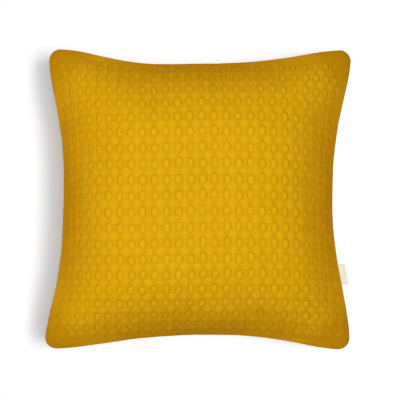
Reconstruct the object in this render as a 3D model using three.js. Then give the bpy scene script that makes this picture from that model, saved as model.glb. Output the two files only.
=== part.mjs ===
// A square scatter cushion in its sewn cover, lying on its back, with a folded label in its right-hand seam.
// Millimetres. +Z points up out of the cushion's face, and the top edge of the face lies towards +Y.
// The cushion rests on the flat spot under its back, at z = 0.

import * as THREE from "three";
import { mergeGeometries, mergeVertices } from "three/addons/utils/BufferGeometryUtils.js";

// The filled cover, which was sewn 450 mm square. Its crown rises from the seam, and its back hangs below it.
const HALF_SIDE = 218.5;
const CORNER_RADIUS = 18.4;
const SEAM_HEIGHT = 65.5;
const FACE_CROWN = 77.5;
const BACK_CROWN = 72.5;

// How full the cushion stays from the middle of the face out to its seams. A larger SHOULDER keeps the
// crown flat for longer, and a larger TURN makes it meet the seam more steeply.
const SHOULDER = 4;
const TURN = 1.2;

// The ears at the corners: how far the drawn-in stretch of a side reaches towards them, how much flatter they
// are than the rest and how close to the corners that stays, and how close the hanging part stays.
const EAR = 1.95;
const FLAT_EAR = 0.64;
const FLAT_EAR_REACH = 1.75;
const HANG = 4;

// The back's flat spot runs into the curve around it over this height.
const FLOOR_BLEND = 1;

// The folded ribbon label: its size, where its middle sits along the right side, and how far its tip sags.
const LABEL_LENGTH = 30;
const LABEL_REACH = 10.5;
const LABEL_THICKNESS = 1.4;
const LABEL_ALONG = -0.505;
const LABEL_SAG = 1.5;
const LABEL_STEPS_OUT = 4;
const LABEL_STEPS_ALONG = 6;
const GAP = 0.4;

// Each face is a grid of this many steps along a side, closer together towards the seams. The two faces'
// points meet exactly along the seam and are joined there, which needs only a hair of tolerance.
const STEPS = 40;
const JOIN_TOLERANCE = 1e-3;

// Each corner of the seam, before it is rounded: its place, and how far it hangs below the sides' middles.
const CORNERS = {
  bottomLeft: { x: -226.4, y: -220.8, droop: 15 },
  bottomRight: { x: 222.9, y: -222, droop: 13 },
  topLeft: { x: -219.2, y: 220.3, droop: 12 },
  topRight: { x: 225.4, y: 219.5, droop: 14 },
};

// Each side of the seam: how far it is drawn in, where it is deepest, from -1 at its left or lower end to
// 1 at the other, and how soon it runs out straight towards each end.
const SIDES = {
  left: { depth: 27.4, deepest: 0.09, startPower: 3.5, endPower: 2.4 },
  right: { depth: 29.1, deepest: -0.01, startPower: 2.1, endPower: 2.65 },
  bottom: { depth: 23.9, deepest: 0.13, startPower: 2.6, endPower: 2.45 },
  top: { depth: 24.2, deepest: -0.29, startPower: 1.85, endPower: 3.6 },
};

function mix(start, end, share) {
  return start + (end - start) * share;
}

// How far one side is drawn in at s, which runs from -1 to 1 along it.
function drawnIn(side, s) {
  const towardsStart = s < side.deepest;
  const reach = towardsStart ? 1 + side.deepest : 1 - side.deepest;
  const power = towardsStart ? side.startPower : side.endPower;
  const t = Math.min(1, Math.abs(s - side.deepest) / reach);
  return side.depth * (1 - t ** power) ** EAR;
}

// How far a side falls back at s where it turns into the rounded corner.
function cornerFall(s) {
  const arcStart = HALF_SIDE - CORNER_RADIUS;
  const arcMiddle = HALF_SIDE - CORNER_RADIUS * (1 - Math.SQRT1_2);
  const along = Math.max(0, Math.abs(s) * arcMiddle - arcStart);
  return CORNER_RADIUS - Math.sqrt(CORNER_RADIUS ** 2 - along ** 2);
}

// A value that is given at the four corners, spread evenly over the square.
function betweenCorners(key, u, v) {
  const { bottomLeft, bottomRight, topLeft, topRight } = CORNERS;
  const low = mix(bottomLeft[key], bottomRight[key], (1 + u) / 2);
  const high = mix(topLeft[key], topRight[key], (1 + u) / 2);
  return mix(low, high, (1 + v) / 2);
}

// The place in plan of the point (u, v) of the square, each from -1 to 1.
function plan(u, v) {
  const inLeft = drawnIn(SIDES.left, v) + cornerFall(v);
  const inRight = drawnIn(SIDES.right, v) + cornerFall(v);
  const inBottom = drawnIn(SIDES.bottom, u) + cornerFall(u);
  const inTop = drawnIn(SIDES.top, u) + cornerFall(u);
  return {
    x: betweenCorners("x", u, v) + mix(inLeft, -inRight, (1 + u) / 2),
    y: betweenCorners("y", u, v) + mix(inBottom, -inTop, (1 + v) / 2),
  };
}

// The height of the layer that the seam lies in, which hangs down towards the corners.
function seamHeight(u, v) {
  return SEAM_HEIGHT - betweenCorners("droop", u, v) * (u * v) ** HANG;
}

// How full the filling is at t, from 1 at the middle down to 0 at the seam.
function rise(t) {
  return (1 - Math.abs(t) ** SHOULDER) ** (1 / TURN);
}

// The same at (u, v). Little of the filling reaches the corners.
function fullness(u, v) {
  return rise(u) * rise(v) * (1 - FLAT_EAR * Math.abs(u * v) ** FLAT_EAR_REACH);
}

// Flattens the underside against the surface that it lies on.
function onSurface(height) {
  if (height >= FLOOR_BLEND) return height;
  if (height <= -FLOOR_BLEND) return 0;
  return (height + FLOOR_BLEND) ** 2 / (4 * FLOOR_BLEND);
}

function faceHeight(u, v) {
  return seamHeight(u, v) + FACE_CROWN * fullness(u, v);
}

function backHeight(u, v) {
  return onSurface(seamHeight(u, v) - BACK_CROWN * fullness(u, v));
}

// One side of the cover: an even grid whose lines are drawn together towards the seams and lifted to height(u, v).
function panel(height, facesDown) {
  const geometry = new THREE.PlaneGeometry(2, 2, STEPS, STEPS);
  if (facesDown) geometry.rotateY(Math.PI);
  const position = geometry.attributes.position;
  for (let i = 0; i < position.count; i += 1) {
    const u = Math.sin((position.getX(i) * Math.PI) / 2);
    const v = Math.sin((position.getY(i) * Math.PI) / 2);
    const { x, y } = plan(u, v);
    position.setXYZ(i, x, y, height(u, v));
  }
  geometry.deleteAttribute("uv");
  geometry.deleteAttribute("normal");
  return geometry;
}

function filledCover() {
  const face = panel(faceHeight, false);
  const back = panel(backHeight, true);
  const solid = mergeVertices(mergeGeometries([face, back]), JOIN_TOLERANCE);
  solid.computeVertexNormals();
  return solid;
}

// The folded ribbon, which follows the seam along its length and sags a little towards its tip.
function sideLabel() {
  const geometry = new THREE.BoxGeometry(1, 1, LABEL_THICKNESS, LABEL_STEPS_OUT, LABEL_STEPS_ALONG);
  const position = geometry.attributes.position;
  for (let i = 0; i < position.count; i += 1) {
    const reach = position.getX(i) + 0.5;
    const v = LABEL_ALONG + (position.getY(i) * LABEL_LENGTH) / HALF_SIDE;
    const seam = plan(1, v);
    const sag = LABEL_SAG * reach ** 2;
    const z = seamHeight(1, v) - sag + position.getZ(i);
    position.setXYZ(i, seam.x + GAP + reach * LABEL_REACH, seam.y, z);
  }
  geometry.computeVertexNormals();
  return geometry;
}

function piece(name, geometry, color, roughness) {
  const material = new THREE.MeshStandardMaterial({ color, roughness, metalness: 0 });
  const mesh = new THREE.Mesh(geometry, material);
  mesh.name = name;
  return mesh;
}

const cushion = piece("cushion", filledCover(), 0xd69f10, 0.9);
const label = piece("side_label", sideLabel(), 0xeee4cf, 0.8);

// The origin is under the middle of the whole thing, on the surface that it rests on.
const whole = new THREE.Group();
whole.add(cushion, label);
const middle = new THREE.Box3().setFromObject(whole).getCenter(new THREE.Vector3());
whole.position.set(-middle.x, -middle.y, 0);

const part = new THREE.Group();
part.add(whole);

export default part;
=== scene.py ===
# %% [markdown]
# A square scatter cushion lies on its back on a pale floor. Its cover is sewn from two squares of thick
# mustard cotton whose weave stands up in small cells, and a folded ribbon tab is caught in one seam. The
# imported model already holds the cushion's size, its crown and its drawn-in sides, and this script dresses
# it. We load that model first, because every piece made below has to lie where its solid lies.

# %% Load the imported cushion
import math

import bpy
import numpy as np
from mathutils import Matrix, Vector


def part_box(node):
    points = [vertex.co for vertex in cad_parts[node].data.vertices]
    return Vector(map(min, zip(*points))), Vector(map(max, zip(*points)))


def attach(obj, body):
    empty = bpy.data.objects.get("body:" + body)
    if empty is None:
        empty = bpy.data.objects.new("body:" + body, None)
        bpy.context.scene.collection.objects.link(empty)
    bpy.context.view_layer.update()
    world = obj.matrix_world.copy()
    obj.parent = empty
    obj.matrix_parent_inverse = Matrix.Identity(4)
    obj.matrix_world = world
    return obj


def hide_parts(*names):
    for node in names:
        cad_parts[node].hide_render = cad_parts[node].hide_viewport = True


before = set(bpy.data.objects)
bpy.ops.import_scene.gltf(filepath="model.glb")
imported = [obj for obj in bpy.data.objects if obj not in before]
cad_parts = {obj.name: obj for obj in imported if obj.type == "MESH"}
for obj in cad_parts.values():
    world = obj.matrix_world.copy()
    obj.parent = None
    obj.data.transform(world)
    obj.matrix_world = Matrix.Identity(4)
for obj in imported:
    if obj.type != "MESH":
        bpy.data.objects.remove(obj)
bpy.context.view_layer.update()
MM = 0.001

# %% [markdown]
# The camera comes next. The photo looks straight down at the cushion's face, from about a metre above the
# seam. We could aim by eye, but it is surer to work the lens out from two things that the photo gives: how
# many pixels the cushion measures from corner to corner, and how wide the frame is.

# %% Hang the camera over the face
PHOTO_WIDTH_PIXELS = 400
CORNER_SPAN_PIXELS = 305.4
CORNER_SPAN = 450 * MM
CENTRE_PIXEL = (197.8, 199.4)
CAMERA_ABOVE_SEAM = 1.027
CORNERS_BELOW_SEAM = 14 * MM
SEAM_HEIGHT = 65.5 * MM

scene = bpy.context.scene


def put_in_scene(data):
    """A new object in the scene that holds this data and has its name."""
    piece = bpy.data.objects.new(data.name, data)
    scene.collection.objects.link(piece)
    return piece


camera_data = bpy.data.cameras.new("camera")
camera = put_in_scene(camera_data)
scene.camera = camera
pixels_across_one_metre_away = CORNER_SPAN_PIXELS / CORNER_SPAN * (CAMERA_ABOVE_SEAM + CORNERS_BELOW_SEAM)
camera_data.lens = camera_data.sensor_width * pixels_across_one_metre_away / PHOTO_WIDTH_PIXELS
pixel = CAMERA_ABOVE_SEAM / pixels_across_one_metre_away
middle_pixel = PHOTO_WIDTH_PIXELS / 2
camera.location = (
    (middle_pixel - CENTRE_PIXEL[0]) * pixel,
    (CENTRE_PIXEL[1] - middle_pixel) * pixel,
    SEAM_HEIGHT + CAMERA_ABOVE_SEAM,
)
print("lens in mm:", round(camera_data.lens, 1), "one pixel at the seam in mm:", round(pixel / MM, 3))

# %% [markdown]
# A filled cushion isn't a box with round edges. Each side is drawn in between the corners, because the
# filling lifts the middle and leaves the corners as thin ears. We could sculpt that, but formulas say it
# better: one for how far a side is drawn in, and one for the round of a corner. They are the same formulas
# and sizes that the solid was made from.

# %% The cushion's outline
HALF_SIDE = 218.5 * MM
CORNER_RADIUS = 18.4 * MM
EAR = 1.95
OUTLINE_POINTS = 401
CORNERS = {
    "bottom_left": {"x": -226.4 * MM, "y": -220.8 * MM, "droop": 15 * MM},
    "bottom_right": {"x": 222.9 * MM, "y": -222 * MM, "droop": 13 * MM},
    "top_left": {"x": -219.2 * MM, "y": 220.3 * MM, "droop": 12 * MM},
    "top_right": {"x": 225.4 * MM, "y": 219.5 * MM, "droop": 14 * MM},
}
SIDES = {
    "left": {"depth": 27.4 * MM, "deepest": 0.09, "start_power": 3.5, "end_power": 2.4},
    "right": {"depth": 29.1 * MM, "deepest": -0.01, "start_power": 2.1, "end_power": 2.65},
    "bottom": {"depth": 23.9 * MM, "deepest": 0.13, "start_power": 2.6, "end_power": 2.45},
    "top": {"depth": 24.2 * MM, "deepest": -0.29, "start_power": 1.85, "end_power": 3.6},
}


def mix(start, end, share):
    return start + (end - start) * share


def drawn_in(side, s):
    """How far a side is drawn in at s, from -1 at its left or lower end to 1 at the other."""
    towards_start = s < side["deepest"]
    reach = np.where(towards_start, 1 + side["deepest"], 1 - side["deepest"])
    power = np.where(towards_start, side["start_power"], side["end_power"])
    t = np.minimum(1, np.abs(s - side["deepest"]) / reach)
    return side["depth"] * (1 - t**power) ** EAR


def corner_fall(s):
    """How far a side falls back at s where it turns into the rounded corner."""
    arc_start = HALF_SIDE - CORNER_RADIUS
    arc_middle = HALF_SIDE - CORNER_RADIUS * (1 - math.sqrt(0.5))
    along = np.maximum(0, np.abs(s) * arc_middle - arc_start)
    return CORNER_RADIUS - np.sqrt(CORNER_RADIUS**2 - along**2)


def between_corners(key, u, v):
    """A value that is given at the four corners, spread evenly over the square."""
    low = mix(CORNERS["bottom_left"][key], CORNERS["bottom_right"][key], (1 + u) / 2)
    high = mix(CORNERS["top_left"][key], CORNERS["top_right"][key], (1 + u) / 2)
    return mix(low, high, (1 + v) / 2)


def unmoved_plan(u, v):
    """The place in plan of the point (u, v) of the square, about the middle of its sides."""
    in_left, in_right = [drawn_in(SIDES[side], v) + corner_fall(v) for side in ("left", "right")]
    in_bottom, in_top = [drawn_in(SIDES[side], u) + corner_fall(u) for side in ("bottom", "top")]
    x = between_corners("x", u, v) + mix(in_left, -in_right, (1 + u) / 2)
    y = between_corners("y", u, v) + mix(in_bottom, -in_top, (1 + v) / 2)
    return x, y


along_side = np.linspace(-1, 1, OUTLINE_POINTS)
left_edge, _ = unmoved_plan(-1, along_side)
right_edge, _ = unmoved_plan(1, along_side)
_, bottom_edge = unmoved_plan(along_side, -1)
_, top_edge = unmoved_plan(along_side, 1)
solid_low, solid_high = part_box("cushion")
MOVE_X = (solid_low.x + solid_high.x - left_edge.min() - right_edge.max()) / 2
MOVE_Y = (solid_low.y + solid_high.y - bottom_edge.min() - top_edge.max()) / 2


def plan(u, v):
    """The same place, moved to where the solid lies."""
    x, y = unmoved_plan(u, v)
    return x + MOVE_X, y + MOVE_Y


print("outline moved by mm:", round(MOVE_X / MM, 2), round(MOVE_Y / MM, 2))

# %% [markdown]
# The filling is fullest in the middle, keeps nearly that height a long way out, and runs down steeply to
# the seam. A part of a sphere would fall off too early. A power curve lets us choose both: how long the
# crown stays flat, and how steeply it meets the seam. The back is the same curve turned over, and lies
# flat on the floor.

# %% The cushion's crown and back
FACE_CROWN = 77.5 * MM
BACK_CROWN = 72.5 * MM
SHOULDER = 4.0
TURN = 1.2
FLAT_EAR = 0.64
FLAT_EAR_REACH = 1.75
HANG = 4
FLOOR_BLEND = 1 * MM


def rise(t):
    """How full the filling is at t, from 1 at the middle down to 0 at the seam."""
    return (1 - np.minimum(1, np.abs(t)) ** SHOULDER) ** (1 / TURN)


def fullness(u, v):
    """How full the filling is at (u, v). Hardly any of it reaches the corners, so the ears stay flat."""
    return rise(u) * rise(v) * (1 - FLAT_EAR * np.abs(u * v) ** FLAT_EAR_REACH)


def seam_height(u, v):
    return SEAM_HEIGHT - between_corners("droop", u, v) * (u * v) ** HANG


def on_floor(height):
    """Flattens the underside where it lies on the floor, and runs softly into the curve around."""
    blend = (height + FLOOR_BLEND) ** 2 / (4 * FLOOR_BLEND)
    return np.where(height >= FLOOR_BLEND, height, np.where(height <= -FLOOR_BLEND, 0, blend))


def face_height(u, v):
    return seam_height(u, v) + FACE_CROWN * fullness(u, v)


def back_height(u, v):
    return on_floor(seam_height(u, v) - BACK_CROWN * fullness(u, v))


def surface(u, v, height):
    """Points of one side of the cushion, as an array whose last axis is x, y, z."""
    x, y = plan(u, v)
    return np.stack([x, y, height(u, v)], axis=-1)


print("crown in mm:", round(float(face_height(0, 0)) / MM, 1))

# %% [markdown]
# Woven cells don't stretch much, so they stay the same distance apart along the cloth, and only look
# closer together where the cloth turns away from us. A pattern that is projected from above would miss
# that. So we measure along the curved cloth instead: `lay_cloth` finds the places on the cushion where
# evenly spaced columns and rows cross.

# %% Lay evenly woven cloth over the curve
COARSE_STEPS = 240
LAYING_ROUNDS = 12


def along_cloth(points, axis):
    """How far each point is along its line of cloth, from -1 at one seam to 1 at the other."""
    steps = np.linalg.norm(np.diff(points, axis=axis), axis=-1)
    lengths = np.cumsum(steps, axis=axis)
    start = np.zeros_like(np.take(lengths, [0], axis=axis))
    lengths = np.concatenate([start, lengths], axis=axis)
    return 2 * lengths / np.take(lengths, [-1], axis=axis) - 1


def between_points(table, x, y):
    """The value at (x, y), both from 0 to 1, of a square table that is spread evenly over them."""
    last = len(table) - 1
    i = np.clip((x * last).astype(int), 0, last - 1)
    j = np.clip((y * last).astype(int), 0, last - 1)
    share_x, share_y = x * last - i, y * last - j
    low = mix(table[j, i], table[j, i + 1], share_x)
    high = mix(table[j + 1, i], table[j + 1, i + 1], share_x)
    return mix(low, high, share_y)


def lay_cloth(cloth_x, cloth_y, height):
    """The points where places of the cloth come to lie, each from -1 to 1 between its seams."""
    turn = np.linspace(-math.pi / 2, math.pi / 2, COARSE_STEPS + 1)
    t = np.sin(turn)
    points = surface(t[None, :], t[:, None], height)
    # How far the cloth runs ahead of the evenly turned grid. It's smooth, so a few rounds settle it.
    ahead_x = np.arcsin(np.clip(along_cloth(points, 1), -1, 1)) - turn[None, :]
    ahead_y = np.arcsin(np.clip(along_cloth(points, 0), -1, 1)) - turn[:, None]
    goal_x, goal_y = np.arcsin(cloth_x), np.arcsin(cloth_y)
    turn_x, turn_y = goal_x, goal_y
    for _ in range(LAYING_ROUNDS):
        place = turn_x / math.pi + 0.5, turn_y / math.pi + 0.5
        turn_x = np.clip(goal_x - between_points(ahead_x, *place), -math.pi / 2, math.pi / 2)
        turn_y = np.clip(goal_y - between_points(ahead_y, *place), -math.pi / 2, math.pi / 2)
    return surface(np.sin(turn_x), np.sin(turn_y), height)


middle_line = surface(np.sin(np.linspace(-math.pi / 2, math.pi / 2, COARSE_STEPS)), 0.0, face_height)
CLOTH_WIDTH = float(np.linalg.norm(np.diff(middle_line, axis=0), axis=1).sum())
print("cloth from seam to seam in mm:", round(CLOTH_WIDTH / MM, 1))

# %% [markdown]
# Cloth is never sewn up perfectly straight. In the photo the rows of cells sag a little towards both
# sides, and the columns lean in towards the top and the bottom. We count the cells evenly from seam to
# seam and add this small drift, which dies away at the seams themselves.

# %% Let the grain of the cloth drift
COLUMNS = 28.0
ROWS = 21.1
FIRST_COLUMN = 0.44
FIRST_ROW = 0.85
COLUMN_LEAN = {"slant": 0.09, "bow": 0.73, "ease": -0.39}
ROW_SAG = {"slant": 0.07, "bow": 0.02, "ease": 0.94}
GRAIN_ROUNDS = 6


def drift(way, across):
    """How many cells the grain runs ahead at a place from -1 to 1 across it, before it fades at the seams."""
    return way["slant"] * across + way["bow"] * across**2 + way["ease"] * across**4


def cloth_place(column, row):
    """The place of the cloth, each way from -1 to 1, that has this many columns and rows before it."""
    x, y = 2 * column / COLUMNS - 1, 2 * row / ROWS - 1
    for _ in range(GRAIN_ROUNDS):
        columns_ahead = drift(COLUMN_LEAN, y) * (1 - x**2)
        rows_ahead = drift(ROW_SAG, x) * (1 - y**2)
        x = 2 * (column - columns_ahead) / COLUMNS - 1
        y = 2 * (row - rows_ahead) / ROWS - 1
    return x, y


print("cells between the seams:", COLUMNS, "x", ROWS)

# %% [markdown]
# Now the weave. Each cell of this cloth is an upright oval pod with a narrow groove round its top and its
# two sides. Near the left and the right of the cushion the filling pulls the groove's inner side flat, so
# only its outer side still shows. Between the pods, half a step along and half a step up, the cloth swells
# into a broader, softer bump, and straight above and below each pod it sinks. A bump texture could fake
# this, but at a low angle a fake stays flat. So the cell is a height in millimetres that moves the real
# mesh. No two cells of real cloth are alike, so each gets its own height, size and place at random.

# %% The height of one woven cell
COLUMN_PITCH = CLOTH_WIDTH / COLUMNS
ROW_PITCH = CLOTH_WIDTH / ROWS

# In these and later tables, a pair of numbers says where an S-shaped step starts and where it is complete.
POD = {
    "half_width": 0.215, "half_height": 0.235, "corner": 2.8,
    "height": 1.0 * MM, "slope": (0.84, 1.14), "on_flanks": 0.28,
}
BUMP = {
    "half_width": 0.345, "half_height": 0.27, "corner": 2.6,
    "height": 1.05 * MM, "slope": (0.5, 1.15), "on_flanks": 0.6,
}
GROOVE = {"at": 1.24, "width": 0.14, "depth": 0.5 * MM, "upwards": (-0.30, -0.05), "kept_below": 0.3}
GROOVE_SIDES = {"inner": 0.15, "outer": 1.6, "step": (-0.10, 0.10)}
RIBBED = {"height": 0.4 * MM, "across": (0.30, 0.36), "up": (0.16, 0.30)}
UNEVEN = {"height": 0.25, "size": 0.06, "place": 0.028}
MOST_UNEVEN = 2.0
CELL_SEED = 7
SPARE_CELLS = 2

cell_chance = np.random.default_rng(CELL_SEED)


def uneven(amount):
    """One random number for each cell, and for a few spare ones round the edge, spread about zero."""
    cells = [math.ceil(count) + 2 * SPARE_CELLS for count in (ROWS, COLUMNS)]
    numbers = cell_chance.standard_normal(cells)
    return amount * np.clip(numbers, -MOST_UNEVEN, MOST_UNEVEN)


pod_share, bump_share = 1 + uneven(UNEVEN["height"]), 1 + uneven(UNEVEN["height"])
pod_width, pod_length = 1 + uneven(UNEVEN["size"]), 1 + uneven(UNEVEN["size"])
pod_right, pod_up = uneven(UNEVEN["place"]), uneven(UNEVEN["place"])


def smooth(low, high, value):
    """0 below low, 1 above high, and an S-shaped step between."""
    t = np.clip((value - low) / (high - low), 0, 1)
    return t * t * (3 - 2 * t)


def oval(across, up, form):
    """1 on the rim of a rounded oblong, less inside it and more outside."""
    x = np.abs(across) / form["half_width"]
    y = np.abs(up) / form["half_height"]
    return (x ** form["corner"] + y ** form["corner"]) ** (1 / form["corner"])


def swell(form, share, rim, flank):
    """The height of a pod or a bump at a place this far out from its middle. It is lower on the flanks."""
    height = form["height"] * share * (1 - smooth(*form["slope"], rim))
    return height * mix(1, form["on_flanks"], flank)


def cell_relief(column, row, flank, outward):
    """The relief's height at a place counted in columns and rows, how far out from its pod the place is, how
    deep the groove is there, and how ribbed. flank is 1 where it is steep, and outward is the way out."""
    from_column, from_row = column - FIRST_COLUMN, row - FIRST_ROW
    nearest_column, nearest_row = np.round(from_column), np.round(from_row)
    cell = (nearest_row + SPARE_CELLS).astype(int), (nearest_column + SPARE_CELLS).astype(int)
    across = (from_column - nearest_column - pod_right[cell]) / pod_width[cell]
    up = (from_row - nearest_row - pod_up[cell]) / pod_length[cell]
    rim = oval(across, up, POD)
    pod = swell(POD, pod_share[cell], rim, flank)
    ring = np.exp(-(((rim - GROOVE["at"]) / GROOVE["width"]) ** 2))
    outer_side = smooth(*GROOVE_SIDES["step"], across * outward)
    kept_here = mix(GROOVE_SIDES["inner"], GROOVE_SIDES["outer"], outer_side)
    grooved = mix(GROOVE["kept_below"], 1, smooth(*GROOVE["upwards"], up))
    grooved = grooved * mix(1, kept_here, np.abs(outward))
    groove = GROOVE["depth"] * ring * grooved

    side_column, side_row = np.floor(from_column), np.floor(from_row)
    bump_across, bump_up = from_column - side_column - 0.5, from_row - side_row - 0.5
    share = bump_share[(side_row + SPARE_CELLS).astype(int), (side_column + SPARE_CELLS).astype(int)]
    bump = swell(BUMP, share, oval(bump_across, bump_up, BUMP), flank)

    ribbed = smooth(*RIBBED["across"], np.abs(across)) * (1 - smooth(*RIBBED["up"], np.abs(up)))
    return np.maximum(bump, ribbed * RIBBED["height"]) + pod - groove, rim, grooved, ribbed


print("one cell in mm:", round(COLUMN_PITCH / MM, 1), "x", round(ROW_PITCH / MM, 1))

# %% [markdown]
# The two squares of cloth are sewn face to face and turned out, so the edge is a knife edge: each side
# rolls over the turnings that lie inside it and dives into the crack where the thread holds both. All of
# this depends on one thing, how far a point is from the seam, so we measure that first, straight to the
# seam's line in plan.

# %% Measure how far a point is from the seam
SEAM_POINTS = 1600
NEAR_SEAM = 30 * MM
CHUNK = 4000


def seam_outline():
    """The seam's line in plan, counterclockwise, and the way straight out of the cushion at each point."""
    t = np.sin(np.linspace(-math.pi / 2, math.pi / 2, SEAM_POINTS // 4, endpoint=False))
    one = np.ones_like(t)
    runs = [plan(t, -one), plan(one, t), plan(-t, one), plan(-one, -t)]
    line = np.concatenate([np.stack(run, axis=-1) for run in runs])
    along = np.roll(line, -1, axis=0) - np.roll(line, 1, axis=0)
    out = np.stack([along[:, 1], -along[:, 0]], axis=-1)
    return line, out / np.linalg.norm(out, axis=-1, keepdims=True)


seam_line, seam_out = seam_outline()


def to_seam(points, x, y):
    """How far a grid's points are from the seam in plan, and which way out of the cushion is there."""
    reach = (1 - np.maximum(np.abs(x), np.abs(y))) * CLOTH_WIDTH / 2
    distance = np.full(x.shape, NEAR_SEAM)
    out = np.zeros(x.shape + (2,))
    near = np.argwhere(reach < NEAR_SEAM)
    for start in range(0, len(near), CHUNK):
        index = tuple(near[start:start + CHUNK].T)
        place = points[index][:, :2]
        squares = ((place[:, None, :] - seam_line[None, :, :]) ** 2).sum(axis=-1)
        closest = squares.argmin(axis=1)
        distance[index] = np.minimum(NEAR_SEAM, np.sqrt(squares[np.arange(len(place)), closest]))
        out[index] = seam_out[closest]
    return distance, out


seam_length = float(np.linalg.norm(np.diff(seam_line, axis=0), axis=1).sum())
print("seam's length round the cushion in mm:", round(seam_length / MM))

# %% [markdown]
# The thread gathers the cloth a little as well, so small puckers run in from the seam. `pucker_wave` draws
# a wandering curve along each side, and the puckers fade out a few centimetres in.

# %% The rolled edge and its puckers
ROLL = {"height": 1.3 * MM, "at": 2.4 * MM}
CRACK = {"depth": 1.7 * MM, "width": 0.8 * MM}
CALM = {"step": (2.5 * MM, 11 * MM), "at_side_ends": 6 * MM, "at_ends": 12 * MM}
NEAR_ENDS = (0.45, 0.92)
SIDES_MEET = (-0.06, 0.06)
PUCKER = {"height": 0.6 * MM, "at": 7 * MM, "step": 14 * MM}
PUCKER_SEED = 11


def pucker_wave(seed, along):
    """The pucker at a place from -1 to 1 along a seam. It wanders between about -1 and 1."""
    count = round(CLOTH_WIDTH / PUCKER["step"])
    knots = np.random.default_rng(seed).standard_normal(count + 3)
    knots = np.convolve(knots, [0.25, 0.5, 0.25], mode="same")
    place = (np.clip(along, -1, 1) + 1) / 2 * count
    low = np.floor(place).astype(int)
    return mix(knots[low], knots[low + 1], smooth(0, 1, place - low))


def seam_relief(distance, x, y, seed):
    """The rolled edge's height, the crack's depth, and how much of the cells' relief is left there."""
    roll = ROLL["height"] * distance / ROLL["at"] * np.exp(1 - distance / ROLL["at"])
    fade = distance / PUCKER["at"] * np.exp(1 - distance / PUCKER["at"])
    side, end = pucker_wave(seed, y) * np.sign(x), pucker_wave(seed + 1, x) * np.sign(y)
    nearer_side = smooth(*SIDES_MEET, np.abs(x) - np.abs(y))
    pucker = PUCKER["height"] * fade * mix(end, side, nearer_side)
    crack = CRACK["depth"] * np.exp(-((distance / CRACK["width"]) ** 2))
    near_end = smooth(*NEAR_ENDS, np.minimum(np.abs(x), np.abs(y)))
    smooth_band = near_end * mix(CALM["at_ends"], CALM["at_side_ends"], nearer_side)
    return roll + pucker, crack, smooth(*CALM["step"], distance - smooth_band)


print("puckers along one seam:", round(CLOTH_WIDTH / PUCKER["step"]))

# %% [markdown]
# Two real creases show in the photo, one near the bottom right corner and one near the top left, where the
# slack ears fold a little. A simulation wouldn't put them in the same places, so we press them in one by one:
# each is a soft trough along a short line, deepest in its middle.

# %% Soft creases near two corners
CREASES = (
    {"from": (134 * MM, -199 * MM), "to": (193 * MM, -207 * MM), "depth": 1.2 * MM, "width": 3.0 * MM},
    {"from": (-171 * MM, 208 * MM), "to": (-138 * MM, 198 * MM), "depth": 1.6 * MM, "width": 3.0 * MM},
    {"from": (176 * MM, -176 * MM), "to": (205 * MM, -196 * MM), "depth": 0.9 * MM, "width": 4.0 * MM},
)
# As shares of the way along its line.
CREASE_DEEPENS = (-0.25, 0.3)
CREASE_RUNS_OUT = (0.7, 1.25)


def crease_depth(points):
    """How deep the creases press the cloth in at each point."""
    depth = np.zeros(points.shape[:-1])
    for crease in CREASES:
        start, end = np.array(crease["from"]), np.array(crease["to"])
        along = ((points[..., :2] - start) @ (end - start)) / ((end - start) @ (end - start))
        nearest = start + np.clip(along, 0, 1)[..., None] * (end - start)
        off = np.linalg.norm(points[..., :2] - nearest, axis=-1) / crease["width"]
        shown = smooth(*CREASE_DEEPENS, along) * (1 - smooth(*CREASE_RUNS_OUT, along))
        depth += crease["depth"] * shown * np.exp(-(off**2))
    return depth


print("creases:", len(CREASES))

# %% [markdown]
# Formulas alone give a cushion that is too even. Real cloth settles round its filling and pulls itself
# into slow swells near the seams, which nobody would think of drawing. Blender's cloth simulation finds
# them. The fine mesh would take far too long, so we blow up a coarse copy from inside for twenty frames,
# held where it is sewn and where it lies on the floor. We keep only the folds, as how far each place moved
# more than the places around it, and cap them, so that the cushion's size stays right.

# %% Let a coarse copy settle round its filling
SETTLE_STEPS = 72
SETTLE_FRAMES = 20
SETTLING_CLOTH = {
    "quality": 8, "tension_stiffness": 20, "compression_stiffness": 20, "bending_stiffness": 1.0,
    "shrink_min": -0.01, "use_pressure": True, "uniform_pressure_force": 4.0,
}
MOST_SETTLED = 1.5 * MM
FOLD_EASING = 3
SWELL_EASING = 60
HELD_BELOW = 0.4 * MM
TINY = 1e-9


def quads(number, turned):
    """Four-cornered faces between the points of a grid, which is given as a table of their numbers."""
    corners = [number[:-1, :-1], number[:-1, 1:], number[1:, 1:], number[1:, :-1]]
    if turned:
        corners.reverse()
    return np.stack([corner.ravel() for corner in corners], axis=1).tolist()


def coarse_cover():
    """Points and faces of a coarse closed cover, and the numbers of its points as a grid for each side."""
    place = np.linspace(-1, 1, SETTLE_STEPS + 1)
    x, y = np.meshgrid(place, place)
    face, back = lay_cloth(x, y, face_height), lay_cloth(x, y, back_height)
    face_number = np.arange(x.size).reshape(x.shape)
    back_number = face_number.copy()
    inner = (slice(1, -1), slice(1, -1))
    back_number[inner] = x.size + np.arange(back_number[inner].size).reshape(back_number[inner].shape)
    points = np.concatenate([face.reshape(-1, 3), back[inner].reshape(-1, 3)])
    return points, quads(face_number, False) + quads(back_number, True), face_number, back_number


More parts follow.
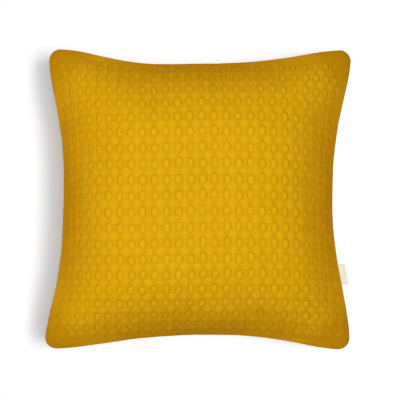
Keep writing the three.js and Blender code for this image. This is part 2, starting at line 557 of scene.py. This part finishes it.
def blown_up(points, faces, held):
    """Where the points come to rest once the closed cloth is blown up from inside."""
    mesh = bpy.data.meshes.new("settling_cover")
    mesh.from_pydata(points.tolist(), [], faces)
    settling = put_in_scene(mesh)
    settling.vertex_groups.new(name="held").add([int(number) for number in held], 1.0, "REPLACE")
    cloth = settling.modifiers.new("cloth", "CLOTH")
    cloth.point_cache.frame_end = SETTLE_FRAMES
    for name, value in SETTLING_CLOTH.items():
        setattr(cloth.settings, name, value)
    cloth.settings.effector_weights.gravity = 0
    cloth.settings.vertex_group_mass = "held"
    cloth.collision_settings.use_collision = False
    for frame_number in range(1, SETTLE_FRAMES + 1):
        scene.frame_set(frame_number)
    with bpy.context.temp_override(object=settling, active_object=settling):
        bpy.ops.object.modifier_apply(modifier="cloth")
    rest = np.empty(len(mesh.vertices) * 3)
    settling.data.vertices.foreach_get("co", rest)
    scene.frame_set(1)
    bpy.data.objects.remove(settling)
    return rest.reshape(-1, 3)


def eased(table, rounds):
    """A table whose values are drawn towards their neighbours this many times. Its edges stay as they are."""
    table = table.copy()
    for _ in range(rounds):
        table[1:-1] = (table[:-2] + 2 * table[1:-1] + table[2:]) / 4
        table[:, 1:-1] = (table[:, :-2] + 2 * table[:, 1:-1] + table[:, 2:]) / 4
    return table


def finer(table):
    """A table with a point between each two, all eased so that no step shows. Its edges stay as they are."""
    for axis in (0, 1):
        table = np.moveaxis(table, axis, 0)
        dense = np.empty((2 * len(table) - 1,) + table.shape[1:])
        dense[::2], dense[1::2] = table, (table[1:] + table[:-1]) / 2
        dense[1:-1] = (dense[:-2] + 2 * dense[1:-1] + dense[2:]) / 4
        table = np.moveaxis(dense, 0, axis)
    return table


def longest_in_mm(moves):
    return round(float(np.linalg.norm(moves, axis=-1).max()) / MM, 1)


def settle():
    """How far the cloth settles on each side, as tables over the cloth."""
    points, faces, face_number, back_number = coarse_cover()
    moved = np.zeros_like(points)
    edge = np.concatenate([face_number[0], face_number[-1], face_number[:, 0], face_number[:, -1]])
    on_the_floor = np.flatnonzero(points[:, 2] < HELD_BELOW)
    moved = blown_up(points, faces, np.unique(np.concatenate([edge, on_the_floor]))) - points
    print("the coarse copy moved most by mm:", longest_in_mm(moved))
    tables = []
    for side, number in (("face", face_number), ("back", back_number)):
        folds = eased(moved[number], FOLD_EASING) - eased(moved[number], SWELL_EASING)
        size = np.linalg.norm(folds, axis=-1, keepdims=True) + TINY
        kept = folds * MOST_SETTLED * np.tanh(size / MOST_SETTLED) / size
        print("deepest fold kept on the", side, "in mm:", longest_in_mm(kept))
        tables.append(finer(finer(kept)))
    return tables


face_settled, back_settled = settle()

# %% [markdown]
# A mesh only shows a groove if its lines run along it. An even grid fine enough for these grooves would
# need millions of faces. The cells repeat, so we list the grid's lines within one cell, close together on
# the pod's rim and wide apart on its flat top, and repeat them. The face gets more lines than the hidden
# back.

# %% Grid lines that follow the weave
GRID_LINES = {
    "face": {
        "columns": (-0.40, -0.31, -0.265, -0.20, -0.07, 0.07, 0.20, 0.265, 0.31, 0.40, 0.5),
        "rows": (-0.40, -0.315, -0.27, -0.21, -0.08, 0.08, 0.21, 0.27, 0.315, 0.40, 0.5),
    },
    "back": {"columns": (-0.30, -0.20, 0.0, 0.20, 0.30, 0.5), "rows": (-0.32, -0.22, 0.0, 0.22, 0.32, 0.5)},
}
SEAM_LINES = np.array([0.0, 0.8, 1.7, 2.8, 4.2, 6.0]) * MM
ROOM_PAST_SEAM_LINES = 0.05


def cloth_lines(count, first, fractions):
    """Places of the grid's lines across the cloth, in cells, from 0 at one seam to count at the other."""
    cell = CLOTH_WIDTH / count
    seam = SEAM_LINES / cell
    steps = np.arange(-1, math.ceil(count) + 1)
    woven = (steps[:, None] + first + np.array(fractions)[None, :]).ravel()
    room = seam[-1] + ROOM_PAST_SEAM_LINES
    woven = woven[(woven > room) & (woven < count - room)]
    return np.concatenate([seam, woven, count - seam[::-1]])


grid = {}
for side, lines in GRID_LINES.items():
    columns = cloth_lines(COLUMNS, FIRST_COLUMN, lines["columns"])
    rows = cloth_lines(ROWS, FIRST_ROW, lines["rows"])
    grid[side] = columns, rows
    print("lines on the", side + ":", len(columns), "x", len(rows))

# %% [markdown]
# Everything comes together here. A point of the cloth starts on the smooth cushion and moves straight out
# by the height of the weave, the rolled edge and the puckers. On the flanks the filling pulls the cloth
# tight over the turn, so the cells stand up less there. The relief and the cushion's own slope are stored
# on the mesh too, for the materials to use.

# %% Make the points of one side
SEAM_HALF_GAP = 0.3 * MM
FLANK = (0.02, 0.30)
OUTWARD = (0.2, 0.6)
SLACK_EAR = (0.55, 0.92)
RELIEF_ON_EARS = 0.5


def normals(points, faces_down):
    """The directions straight out of the cloth, at a grid of points."""
    normal = np.cross(np.gradient(points, axis=1), np.gradient(points, axis=0))
    if faces_down:
        normal = -normal
    return normal / np.linalg.norm(normal, axis=-1, keepdims=True)


def settled_by(table, x, y):
    """How far the cloth has settled at its places (x, y), each from -1 to 1."""
    return np.stack([between_points(table[..., k], (x + 1) / 2, (y + 1) / 2) for k in range(3)], axis=-1)


def cloth_side(columns, rows, height, settled, faces_down, seed):
    """One side of the cover: its points, their places on the cloth, and the cells' relief at them."""
    column, row = np.meshgrid(columns, rows)
    x, y = cloth_place(column, row)
    points = lay_cloth(x, y, height) + settled_by(settled, x, y)
    distance, out = to_seam(points, x, y)
    edge, crack, calm = seam_relief(distance, x, y, seed)
    out_of_cloth = normals(points, faces_down)
    steep = 1 - np.abs(out_of_cloth[..., 2])
    flank = smooth(*FLANK, steep)
    outward = np.sign(x) * smooth(*OUTWARD, np.abs(x))
    cell, rim_of_pod, grooved, ribbed = cell_relief(column, row, flank, outward)
    ear = smooth(*SLACK_EAR, np.abs(x * y))
    kept_on_ears = mix(1, RELIEF_ON_EARS, ear)
    cell, grooved = cell * kept_on_ears, grooved * kept_on_ears
    if not faces_down:
        edge = edge - crease_depth(points)
    points = points + out_of_cloth * (cell * calm + edge)[..., None]
    points[..., :2] -= out * crack[..., None]
    at_seam = np.maximum(np.abs(x), np.abs(y)) > 1 - TINY
    points[at_seam, 2] += -SEAM_HALF_GAP if faces_down else SEAM_HALF_GAP
    points[..., 2] = np.maximum(points[..., 2], 0)
    relief = {
        "rim_of_pod": rim_of_pod,
        "grooved": grooved * calm,
        "raised": cell * calm / BUMP["height"],
        "ribbed": ribbed * calm,
        "woven": calm,
        "ear": ear,
        "steep": steep,
    }
    return points, np.stack([x, y], axis=-1), relief


face_points, face_places, face_relief = cloth_side(
    *grid["face"], face_height, face_settled, False, PUCKER_SEED
)
back_points, back_places, back_relief = cloth_side(
    *grid["back"], back_height, back_settled, True, PUCKER_SEED + 2
)
print("points on the face:", face_points[..., 0].size, "and on the back:", back_points[..., 0].size)

# %% [markdown]
# The face and the back have different numbers of points along the seam. We could force them to match, but
# that wastes faces on the back. Instead `zip_seam` walks along both edges at once and always steps ahead
# on the side that is behind, which leaves a thin strip of triangles down in the crack, where the thread
# would be. The cover gets two UV maps: one measures the cloth in metres for the materials, and one lays
# everything out flat without overlaps, the face on the left, the back on the right and the strips of the
# crack between, for baking.

# %% Join the two sides into one closed cushion
BAKED_SIDE = {"width": 0.484, "low": 0.002, "high": 0.998}
BAKED_CRACK = {"start": 0.489, "step": 0.006, "width": 0.003}


def rim_runs(places, number, side):
    """A grid's four edges, one after the other round the cushion, as lists of corners: the point's number,
    its side, 0 for the face and 1 for the back, and how far along the seam it is."""
    runs = (
        (number[0], places[0, :, 0]),
        (number[:, -1], places[:, -1, 1]),
        (number[-1, ::-1], -places[-1, ::-1, 0]),
        (number[::-1, 0], -places[::-1, 0, 1]),
    )
    return [[(int(point), side, at) for point, at in zip(*run)] for run in runs]


def zip_seam(face, back):
    """Triangles between one edge of the face and the same edge of the back."""
    i = j = 0
    triangles = []
    while i < len(face) - 1 or j < len(back) - 1:
        back_done = j == len(back) - 1
        if back_done or (i < len(face) - 1 and face[i + 1][2] <= back[j + 1][2]):
            triangles.append((face[i], back[j], face[i + 1]))
            i += 1
        else:
            triangles.append((face[i], back[j], back[j + 1]))
            j += 1
    return triangles


def baked_places(corner_points, crack):
    """Where each face's corners lie on the flat layout: first those of the two sides, then the crack's."""
    room = BAKED_SIDE["high"] - BAKED_SIDE["low"]
    sides = []
    # The back is turned over, so its left is laid out on the right.
    for places, start, width in (
        (face_places, BAKED_SIDE["low"], BAKED_SIDE["width"]),
        (back_places, BAKED_SIDE["high"], -BAKED_SIDE["width"]),
    ):
        share = (places.reshape(-1, 2) + 1) / 2
        across, up = start + share[:, 0] * width, BAKED_SIDE["low"] + share[:, 1] * room
        sides.append(np.stack([across, up], axis=1))
    strips = []
    for k, triangles in enumerate(crack):
        left = BAKED_CRACK["start"] + k * BAKED_CRACK["step"]
        for triangle in triangles:
            for _, side, at in triangle:
                strips.append((left + side * BAKED_CRACK["width"], BAKED_SIDE["low"] + (at + 1) / 2 * room))
    on_sides = np.concatenate(sides)[corner_points[:len(corner_points) - len(strips)]]
    return np.concatenate([on_sides, np.array(strips)])


def build_cover():
    """The whole cover as one closed mesh, with its two UV maps and the relief stored on it."""
    points = np.concatenate([face_points.reshape(-1, 3), back_points.reshape(-1, 3)])
    face_number = np.arange(face_points[..., 0].size).reshape(face_points.shape[:2])
    back_number = face_number.size + np.arange(back_points[..., 0].size).reshape(back_points.shape[:2])
    runs = zip(rim_runs(face_places, face_number, 0), rim_runs(back_places, back_number, 1))
    crack = [zip_seam(*run) for run in runs]
    crack_faces = [[corner[0] for corner in triangle] for triangles in crack for triangle in triangles]
    mesh = bpy.data.meshes.new("filled_cover")
    woven_faces = quads(face_number, False) + quads(back_number, True)
    mesh.from_pydata(points.tolist(), [], woven_faces + crack_faces)
    mesh.shade_smooth()

    cloth = [
        np.stack(np.meshgrid(columns * COLUMN_PITCH, rows * ROW_PITCH), axis=-1).reshape(-1, 2)
        for columns, rows in grid.values()
    ]
    corner_points = np.empty(len(mesh.loops), int)
    mesh.loops.foreach_get("vertex_index", corner_points)
    maps = {"cloth": np.concatenate(cloth)[corner_points], "OFBake": baked_places(corner_points, crack)}
    for name, places in maps.items():
        mesh.uv_layers.new(name=name).data.foreach_set("uv", places.astype(np.float32).ravel())
    for name in face_relief:
        values = np.concatenate([face_relief[name].ravel(), back_relief[name].ravel()])
        mesh.attributes.new(name, "FLOAT", "POINT").data.foreach_set("value", values.astype(np.float32))
    mesh.update()
    return put_in_scene(mesh)


cover = build_cover()
print("triangles in the cover:", sum(len(face.vertices) - 2 for face in cover.data.polygons))

# %% [markdown]
# The tab is a short ribbon, folded in half and caught in the seam. It is modelled as what it is: one thin
# strip that runs out, turns round a tight fold and runs back. It follows the seam along its length.

# %% Fold the ribbon tab
LABEL_LENGTH = 30 * MM
LABEL_REACH = 10.5 * MM
LABEL_ALONG = -0.505
LABEL_SAG = 1.5 * MM
LABEL_TUCK = 1.2 * MM
RIBBON_THICKNESS = 0.45 * MM
RIBBON_FOLD_RADIUS = 0.42 * MM
RIBBON_STEPS = 26
FOLD_STEPS = 8
LAYER_STEPS = 10


def folded_path():
    """The ribbon's middle line seen from its end: (out from the seam, up) and the direction across it."""
    straight_end = LABEL_REACH - RIBBON_FOLD_RADIUS
    out = np.linspace(-LABEL_TUCK, straight_end, LAYER_STEPS)
    turn = np.linspace(math.pi / 2, -math.pi / 2, FOLD_STEPS + 2)
    angle = np.repeat(turn, [LAYER_STEPS] + [1] * FOLD_STEPS + [LAYER_STEPS])
    across = np.stack([np.cos(angle), np.sin(angle)], axis=1)
    place = RIBBON_FOLD_RADIUS * across
    place[:, 0] += np.concatenate([out, [straight_end] * FOLD_STEPS, out[::-1]])
    return place, across


def build_label():
    place, across = folded_path()
    half = RIBBON_THICKNESS / 2
    section = np.concatenate([place + across * half, (place - across * half)[::-1]])
    lengthwise = np.linspace(-0.5, 0.5, RIBBON_STEPS + 1)
    points = []
    for share in lengthwise:
        v = LABEL_ALONG + share * LABEL_LENGTH / HALF_SIDE
        seam_x, seam_y = plan(1.0, v)
        for out, up in section:
            sag = LABEL_SAG * max(0.0, out / LABEL_REACH) ** 2
            points.append((seam_x + out, seam_y, seam_height(1.0, v) + up - sag))
    ring = len(section)
    faces = []
    for k in range(RIBBON_STEPS):
        for i in range(ring):
            a, b = k * ring + i, k * ring + (i + 1) % ring
            faces.append((a, b, b + ring, a + ring))
    for i in range(len(place) - 1):
        near = (i, ring - 1 - i, ring - 2 - i, i + 1)
        faces.append(near)
        faces.append(tuple(RIBBON_STEPS * ring + corner for corner in reversed(near)))
    mesh = bpy.data.meshes.new("ribbon_tab")
    mesh.from_pydata(points, [], faces)
    path_length = np.concatenate([[0], np.cumsum(np.linalg.norm(np.diff(place, axis=0), axis=1))])
    along_path = np.concatenate([path_length, path_length[::-1]])
    places = [(share * LABEL_LENGTH, along) for share in lengthwise for along in along_path]
    cloth_map = mesh.uv_layers.new(name="cloth")
    for loop in mesh.loops:
        cloth_map.data[loop.index].uv = places[loop.vertex_index]
    mesh.shade_smooth()
    return put_in_scene(mesh), float(path_length[-1])


label, label_cut_length = build_label()
print("ribbon cut to mm:", round(LABEL_LENGTH / MM, 1), "x", round(label_cut_length / MM, 1))

# %% [markdown]
# Both cloths are woven, so both materials use one node group for the yarns. It takes the cloth's own
# measure in metres, crosses two sets of round yarns over and under each other, and puts out how high the
# yarn stands and a slow shade that differs from yarn to yarn. A group keeps the recipe in one place, and
# each material gives it its own yarn width.

# %% The woven yarn group
YARN_SOCKETS = (
    ("INPUT", "Place", "NodeSocketVector"),
    ("INPUT", "Yarn Width", "NodeSocketFloat"),
    ("OUTPUT", "Height", "NodeSocketFloat"),
    ("OUTPUT", "Shade", "NodeSocketFloat"),
)


def add(tree, kind, values=None, **settings):
    """Adds a node, sets its properties, and sets or links its inputs by name or number."""
    node = tree.nodes.new(kind)
    for key, value in settings.items():
        setattr(node, key, value)
    for key, value in (values or {}).items():
        if isinstance(value, bpy.types.NodeSocket):
            tree.links.new(value, node.inputs[key])
        else:
            node.inputs[key].default_value = value
    return node


def calculate(tree, operation, *values):
    """A Math node's result."""
    return add(tree, "ShaderNodeMath", dict(enumerate(values)), operation=operation).outputs[0]


# The numbers of a Mix node's two inputs and of its output, for each kind of value.
MIX_SOCKETS = {"FLOAT": (2, 3, 0), "RGBA": (6, 7, 2)}


def mixed(tree, share, first, second, kind="FLOAT"):
    """A Mix node's result, from first where share is 0 to second where it is 1."""
    first_input, second_input, output = MIX_SOCKETS[kind]
    values = {0: share, first_input: first, second_input: second}
    return add(tree, "ShaderNodeMix", values, data_type=kind).outputs[output]


def woven_yarn_group():
    group = bpy.data.node_groups.new("woven yarn", "ShaderNodeTree")
    for in_out, name, kind in YARN_SOCKETS:
        group.interface.new_socket(name=name, in_out=in_out, socket_type=kind)
    given = add(group, "NodeGroupInput").outputs
    split = add(group, "ShaderNodeSeparateXYZ", {0: given["Place"]})
    yarns = [calculate(group, "DIVIDE", split.outputs[k], given["Yarn Width"]) for k in (0, 1)]
    rounds = []
    for yarn in yarns:
        middle = calculate(group, "SUBTRACT", calculate(group, "FRACT", yarn), 0.5)
        rounds.append(calculate(group, "COSINE", calculate(group, "MULTIPLY", middle, math.pi)))
    numbers = [calculate(group, "FLOOR", yarn) for yarn in yarns]
    parity = calculate(group, "PINGPONG", calculate(group, "ADD", *numbers), 1.0)
    shades = []
    for number in numbers:
        own = add(group, "ShaderNodeCombineXYZ", {0: number, 1: parity}).outputs[0]
        shades.append(add(group, "ShaderNodeTexWhiteNoise", {0: own}, noise_dimensions="2D").outputs[0])
    height, shade = mixed(group, parity, *rounds), mixed(group, parity, *shades)
    add(group, "NodeGroupOutput", {"Height": height, "Shade": shade})
    return group


woven_yarn = woven_yarn_group()
print("group:", woven_yarn.name, "with", len(woven_yarn.nodes), "nodes")

# %% [markdown]
# The cover's cotton is matt and dyed in one colour, and the dye is a little uneven. The material also paints
# light and shade into that colour: the grooves, the hollows and the smooth band along the seam are painted
# darker as painted shade, and the pods a little lighter as a painted highlight. Where the cushion runs down
# steeply, and on its ears, the colour is painted deeper and warmer, a painted shade that stands for light
# bouncing from cloth to cloth. How far each point is from its pod, and how steep it lies, was stored on the
# mesh, so the material can paint this on the grooves and the flanks exactly where they are.

# %% Materials of the cover, the tab and the floor
COTTON = {"Roughness": 0.95, "Specular IOR Level": 0.01}
# The cotton's own colour, and a deeper, warmer copy of it that paints shade on the flanks and the ears.
OPEN_COTTON, COTTON_IN_PAINTED_SHADE = (0.603, 0.327, 0.0037, 1), (0.302, 0.0705, 0.0005, 1)
COTTON_YARN_WIDTH = 0.8 * MM
COTTON_BUMP = {"Strength": 0.5, "Distance": 0.12 * MM}
RIBS_IN_A_CELL = 8
RIB_BUMP = {"Strength": 0.6, "Distance": 0.15 * MM}
RIBBON = {"Roughness": 0.75}
DARK_RIBBON, LIGHT_RIBBON = (0.75, 0.69, 0.56, 1), (0.86, 0.81, 0.70, 1)
RIBBON_YARN_WIDTH = 0.35 * MM
RIBBON_BUMP = {"Strength": 0.6, "Distance": 0.06 * MM}
FLOOR_PAINT = {"Base Color": (0.82, 0.825, 0.84, 1), "Roughness": 0.9}

# Each mask is full up to one value of what it is made from, and gone at the other. The pod, groove and
# hollow masks, and the breaks in the grooves, place painted light and shade; the patches and clouds are
# the uneven dye.
POD_MASK = (0.85, 1.1)
GROOVE_MASK = (0.03, 0.22)
HOLLOW_MASK = (0.0, 0.7)
BREAKS = {"Scale": 260.0, "Detail": 1.0}
PATCHES = {"Scale": 330.0, "Detail": 2.0}
CLOUDS = {"Scale": 14.0, "Detail": 2.0}
# How much painted shade the ears add to the deeper, warmer colour of the flanks.
EARS_IN_PAINTED_SHADE = 0.31

# How light the cloth is without each mask, and what the mask adds. The first five paint light and shade:
# the pods are a little lighter as a painted highlight, the grooves darkest and the hollows darker as painted
# shade, and the smooth band along the seam and the slack ears darker, also as painted shade. The last three
# are the dye, which is a little uneven.
PAINTED_LIGHT_AND_DYE_TINTS = {
    "pod": (0.985, 0.03),
    "groove": (1.0, -0.34),
    "hollow": (1.0, -0.10),
    "woven": (0.93, 0.07),
    "ear": (1.0, -0.16),
    "yarn": (0.96, 0.08),
    "patches": (0.90, 0.20),
    "clouds": (0.96, 0.08),
}


def new_material(name, inputs):
    material = bpy.data.materials.new(name)
    material.use_nodes = True
    tree = material.node_tree
    tree.nodes.clear()
    shader = add(tree, "ShaderNodeBsdfPrincipled", inputs)
    add(tree, "ShaderNodeOutputMaterial", {"Surface": shader.outputs[0]})
    return material, tree, shader


def stored_value(tree, name):
    """A value that was stored on the mesh."""
    return add(tree, "ShaderNodeAttribute", attribute_name=name).outputs["Fac"]


def falls_off(tree, value, mask):
    """1 where the mask is full, 0 where it is gone, with an S-shaped step between."""
    values = {"Value": value, "From Min": mask[0], "From Max": mask[1], "To Min": 1.0, "To Max": 0.0}
    return add(tree, "ShaderNodeMapRange", values, interpolation_type="SMOOTHSTEP").outputs[0]


def cloudy(tree, where, form):
    """A noise that wanders between 0 and 1 over the cloth."""
    return add(tree, "ShaderNodeTexNoise", {"Vector": where, **form}).outputs["Fac"]


def lay_yarns(tree, width):
    """The cloth's own measure in metres, and what the woven yarn group makes of it."""
    place = add(tree, "ShaderNodeUVMap", uv_map="cloth").outputs[0]
    values = {"Place": place, "Yarn Width": width}
    return place, add(tree, "ShaderNodeGroup", values, node_tree=woven_yarn).outputs


def bumped(tree, height, form, **below):
    """The way out of the cloth once this height is laid on it, over the bump below if there is one."""
    return add(tree, "ShaderNodeBump", {"Height": height, **form, **below}).outputs[0]


def mustard_cotton():
    material, tree, shader = new_material("mustard_cotton", COTTON)
    place, yarn = lay_yarns(tree, COTTON_YARN_WIDTH)
    stored = {name: stored_value(tree, name) for name in face_relief}
    where = add(tree, "ShaderNodeTexCoord").outputs["Object"]

    # Masks for a painted highlight on the pods, and for painted shade in the broken grooves and the hollows.
    off_groove = calculate(tree, "SUBTRACT", stored["rim_of_pod"], GROOVE["at"])
    in_groove = falls_off(tree, calculate(tree, "ABSOLUTE", off_groove), GROOVE_MASK)
    groove = calculate(tree, "MULTIPLY", in_groove, stored["grooved"])
    on_pod = falls_off(tree, stored["rim_of_pod"], POD_MASK)
    in_hollow = falls_off(tree, stored["raised"], HOLLOW_MASK)
    masks = {
        "pod": calculate(tree, "MULTIPLY", on_pod, stored["woven"]),
        "groove": calculate(tree, "MULTIPLY", groove, cloudy(tree, where, BREAKS)),
        "hollow": calculate(tree, "MULTIPLY", in_hollow, stored["woven"]),
        "woven": stored["woven"],
        "ear": stored["ear"],
        "yarn": yarn["Shade"],
        "patches": cloudy(tree, where, PATCHES),
        "clouds": cloudy(tree, where, CLOUDS),
    }
    # The painted light and shade, and the uneven dye, multiplied into one factor.
    shade = 1.0
    for name, (without, adds) in PAINTED_LIGHT_AND_DYE_TINTS.items():
        tint = calculate(tree, "MULTIPLY_ADD", masks[name], adds, without)
        shade = calculate(tree, "MULTIPLY", shade, tint)

    # Painted shade: where the cushion runs down steeply, and on its ears, the colour is painted deeper and
    # warmer, standing for light that has come off other cloth. How steep it is was stored on the mesh, so
    # this painted shade stays put from every side.
    painted_shade = calculate(tree, "MULTIPLY_ADD", stored["ear"], EARS_IN_PAINTED_SHADE, stored["steep"])
    dyed = mixed(tree, painted_shade, OPEN_COTTON, COTTON_IN_PAINTED_SHADE, "RGBA")
    colour = add(tree, "ShaderNodeVectorMath", {0: dyed, "Scale": shade}, operation="SCALE").outputs[0]
    tree.links.new(colour, shader.inputs["Base Color"])

    # Fine ribs run up beside each pod. They are too fine for the mesh, so they are bump.
    column = add(tree, "ShaderNodeSeparateXYZ", {0: place}).outputs[0]
    turns = calculate(tree, "MULTIPLY", column, 2 * math.pi * RIBS_IN_A_CELL / COLUMN_PITCH)
    ribs = calculate(tree, "MULTIPLY", calculate(tree, "COSINE", turns), stored["ribbed"])
    normal = bumped(tree, yarn["Height"], COTTON_BUMP, Normal=bumped(tree, ribs, RIB_BUMP))
    tree.links.new(normal, shader.inputs["Normal"])
    return material


def cream_ribbon():
    material, tree, shader = new_material("cream_ribbon", RIBBON)
    _, yarn = lay_yarns(tree, RIBBON_YARN_WIDTH)
    colour = mixed(tree, yarn["Shade"], DARK_RIBBON, LIGHT_RIBBON, "RGBA")
    tree.links.new(colour, shader.inputs["Base Color"])
    tree.links.new(bumped(tree, yarn["Height"], RIBBON_BUMP), shader.inputs["Normal"])
    return material


cover.data.materials.append(mustard_cotton())
label.data.materials.append(cream_ribbon())

# %% [markdown]
# The photo's light is soft and comes from all round, so the cushion's crown is nearly even and only its
# sides fall off. One shadow shows, a soft one on the left, so the strongest light stands high on the
# right. The floor is pure white elsewhere, which the same lights alone would not give, since each low one
# throws a shadow of its own. So the fill lights leave the floor alone, and the floor gets three lights
# that the cushion only shades.

# %% Floor, lights and colours
FLOOR_SIDE = 3.2
FLOOR_BELOW = 0.5 * MM
LIGHT_DISTANCE = 3.6
SKY_LIGHT = 0.20
SKY_SEEN = 1.0

# Name, elevation and turn from the right side in degrees, width in metres, power in watts, what it lights.
LIGHTS = (
    ("overhead", 90, 0, 3.0, 17, "everything"),
    ("high_right", 75, 0, 1.2, 20, "everything"),
    ("key_right", 60, 0, 1.2, 48, "everything"),
    ("fill_left", 35, 180, 1.2, 65, "cushion"),
    ("high_back", 60, 90, 1.2, 16, "cushion"),
    ("low_back", 35, 90, 1.2, 13, "cushion"),
    ("low_front", 35, -90, 1.2, 15, "cushion"),
    ("floor_overhead", 90, 0, 1.2, 47, "floor"),
    ("floor_right_front", 59, -24, 0.9, 15, "floor"),
    ("floor_right_back", 59, 18, 0.9, 15, "floor"),
)


def build_floor():
    half = FLOOR_SIDE / 2
    corners = [(-half, -half, 0), (half, -half, 0), (half, half, 0), (-half, half, 0)]
    mesh = bpy.data.meshes.new("floor")
    mesh.from_pydata(corners, [], [(0, 1, 2, 3)])
    mesh.materials.append(new_material("plain_floor", FLOOR_PAINT)[0])
    floor = put_in_scene(mesh)
    floor.location.z = -FLOOR_BELOW
    return floor


def light_only(*pieces):
    """A collection for the lights that are meant for these pieces alone."""
    collection = bpy.data.collections.new("light only " + pieces[0].name)
    for piece in pieces:
        collection.objects.link(piece)
    return collection


def soft_light(name, elevation, turn, size, power, lit):
    """A round softbox that looks at the cushion."""
    elevation, turn = math.radians(elevation), math.radians(turn)
    direction = Vector((
        math.cos(elevation) * math.cos(turn),
        math.cos(elevation) * math.sin(turn),
        math.sin(elevation),
    ))
    data = bpy.data.lights.new(name, "AREA")
    data.shape = "DISK"
    data.size = size
    data.energy = power
    light = put_in_scene(data)
    light.location = direction * LIGHT_DISTANCE + Vector((0, 0, SEAM_HEIGHT))
    light.rotation_euler = direction.to_track_quat("Z", "Y").to_euler()
    light.light_linking.receiver_collection = lit


floor = build_floor()
lit_pieces = {"everything": None, "cushion": light_only(cover, label), "floor": light_only(floor)}
for *light, lights in LIGHTS:
    soft_light(*light, lit_pieces[lights])
print("lights:", len(LIGHTS))

world = bpy.data.worlds.new("soft_white")
world.use_nodes = True
sky = world.node_tree.nodes["Background"]
sky.inputs["Color"].default_value = (1, 1, 1, 1)
seen = add(world.node_tree, "ShaderNodeLightPath").outputs["Is Camera Ray"]
strength = calculate(world.node_tree, "MULTIPLY_ADD", seen, SKY_SEEN - SKY_LIGHT, SKY_LIGHT)
world.node_tree.links.new(strength, sky.inputs["Strength"])
scene.world = world
scene.view_settings.view_transform = "Standard"

# %% [markdown]
# Last, the cushion and the tab ride on the one body, and each hides the plain solid it stands for.

# %% Put each piece on the body and hide its solid
for piece, node, slot in ((cover, "cushion", "cover_cloth"), (label, "side_label", "label_ribbon")):
    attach(piece, "root")
    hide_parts(node)
